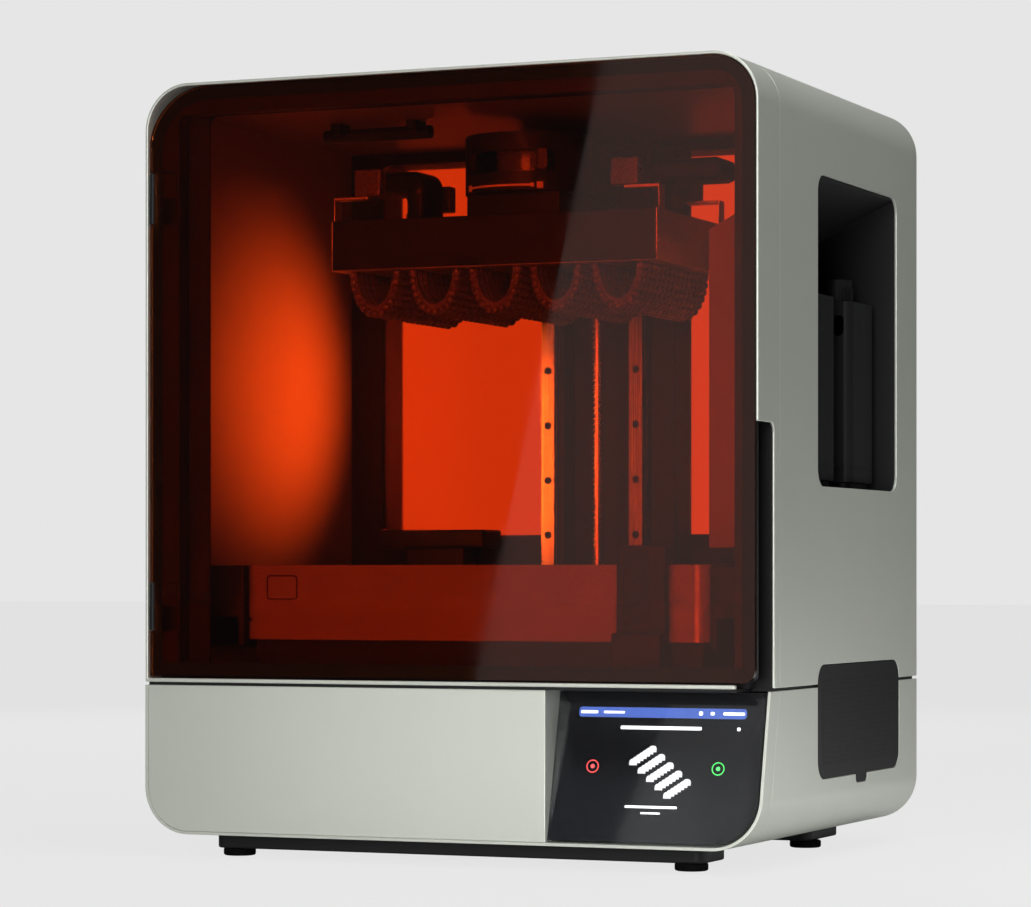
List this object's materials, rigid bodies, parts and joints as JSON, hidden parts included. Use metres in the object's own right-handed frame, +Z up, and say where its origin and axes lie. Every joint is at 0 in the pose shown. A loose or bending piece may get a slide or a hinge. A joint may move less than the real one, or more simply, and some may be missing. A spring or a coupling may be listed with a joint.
{
  "type": "resin printer",
  "caption": "Desktop resin printer with tinted swing door, lifting build platform, resin tank with mixer, side cartridge bay and tilted touch screen.",
  "frame": {"origin": "on the floor under the middle of the footprint", "axes": "+X right, +Y back, +Z up, seen from the door side"},
  "size_m": [0.664, 0.52, 0.789],
  "materials": {
    "body_finish": "satin fine-grain paint",
    "black_plastic": "moulded black",
    "black_rubber": "matte",
    "tinted_glass": "amber tinted, glossy",
    "screen_black": "black cover glass",
    "display": "lit display",
    "chamber_liner": "grey liner",
    "steel": "ground steel",
    "platform_metal": "machined",
    "spring_steel": "matte spring steel",
    "tab_plastic": "moulded",
    "cured_resin": "cured resin",
    "tank_plastic": "moulded",
    "clear_optics": "clear",
    "circuit_board": "board",
    "light_white": "diffuser"
  },
  "bodies": {
    "chassis": {"lower_shell": "body_finish", "lower_bezel": "body_finish", "upper_shell": "body_finish", "front_frame": "body_finish", "front_panel": "body_finish", "rear_panel": "body_finish", "skid_bars": "black_plastic", "door_jamb": "black_plastic", "cartridge_bay": "black_plastic", "cartridge_seats": "black_plastic", "tank_handles": "black_plastic", "tower_column": "black_plastic", "fan_frame": "black_plastic", "deck_plate": "black_plastic", "screen_bracket": "black_plastic", "mixer_slide": "black_plastic", "level_sensor": "black_plastic", "power_inlet": "black_plastic", "light_engine_case": "black_plastic", "tank_stage": "black_plastic", "carbon_filter": "black_plastic", "feet": "black_rubber", "door_gasket": "black_rubber", "rear_window": "tinted_glass", "screen_glass": "screen_black", "display_panel": "display", "chamber_walls": "chamber_liner", "chamber_back": "chamber_liner", "linear_rails": "steel", "screws": "steel", "hinge_leaves": "steel", "z_motor": "steel", "screw_bearings": "steel", "power_supply": "platform_metal", "tank_body": "tank_plastic", "tank_film": "clear_optics", "mask_screen": "clear_optics", "lens_plate": "clear_optics", "led_board": "circuit_board", "mainboard": "circuit_board", "chamber_light": "light_white"},
    "door": {"door_glass": "tinted_glass", "door_frame": "black_plastic"},
    "carriage": {"carriage_plate": "platform_metal", "carriage_bearings": "steel", "carriage_arm": "black_plastic"},
    "platform": {"platform_body": "platform_metal", "flex_sheet": "spring_steel", "flex_tabs": "tab_plastic", "platform_grips": "black_plastic", "printed_batch": "cured_resin"},
    "lock": {"lock_lever": "black_plastic"},
    "screw": {"lead_screw": "steel"},
    "mixer": {"mixer_bracket": "black_plastic", "mixer_blade": "black_plastic"},
    "cartridge_front": {"front_cartridge": "black_plastic"},
    "cartridge_rear": {"rear_cartridge": "black_plastic"},
    "cover": {"filter_cover": "black_plastic"},
    "fan": {"fan_rotor": "black_plastic"},
    "rocker": {"power_rocker": "black_plastic"}
  },
  "joints": [
    {"name": "door_swing", "type": "hinge", "parent": "chassis", "child": "door", "pos_m": [-0.325, -0.2565, 0.48], "axis": [0, 0, -1], "range_deg": [0, 95]},
    {"name": "z_travel", "type": "slide", "parent": "chassis", "child": "carriage", "axis": [0, 0, 1], "range_m": [-0.374, 0], "deforming": ["printed_batch"]},
    {"name": "screw_turn", "type": "hinge", "parent": "chassis", "child": "screw", "pos_m": [0, 0.159, 0.4], "axis": [0, 0, 1], "range_deg": [-22500, 0]},
    {"name": "platform_release", "type": "slide", "parent": "carriage", "child": "platform", "axis": [0, -1, 0], "range_m": [0, 0.085]},
    {"name": "lock_turn", "type": "hinge", "parent": "carriage", "child": "lock", "pos_m": [0, -0.032, 0.714], "axis": [0, 0, 1], "range_deg": [-64, 0]},
    {"name": "mixer_sweep", "type": "slide", "parent": "chassis", "child": "mixer", "axis": [-1, 0, 0], "range_m": [0, 0.398]},
    {"name": "front_cartridge_pull", "type": "slide", "parent": "chassis", "child": "cartridge_front", "axis": [1, 0, 0], "range_m": [0, 0.15]},
    {"name": "rear_cartridge_pull", "type": "slide", "parent": "chassis", "child": "cartridge_rear", "axis": [1, 0, 0], "range_m": [0, 0.15]},
    {"name": "filter_cover_pull", "type": "slide", "parent": "chassis", "child": "cover", "axis": [1, 0, 0], "range_m": [0, 0.06]},
    {"name": "fan_spin", "type": "hinge", "parent": "chassis", "child": "fan", "pos_m": [0.262, 0.057, 0.127], "axis": [1, 0, 0], "continuous": true},
    {"name": "power_rock", "type": "hinge", "parent": "chassis", "child": "rocker", "pos_m": [-0.202, 0.25, 0.086], "axis": [1, 0, 0], "range_deg": [-6, 6]}
  ],
  "couplings": [
    {"joint": "screw_turn", "follows": "z_travel", "rad_per_m": 1047.2}
  ]
}
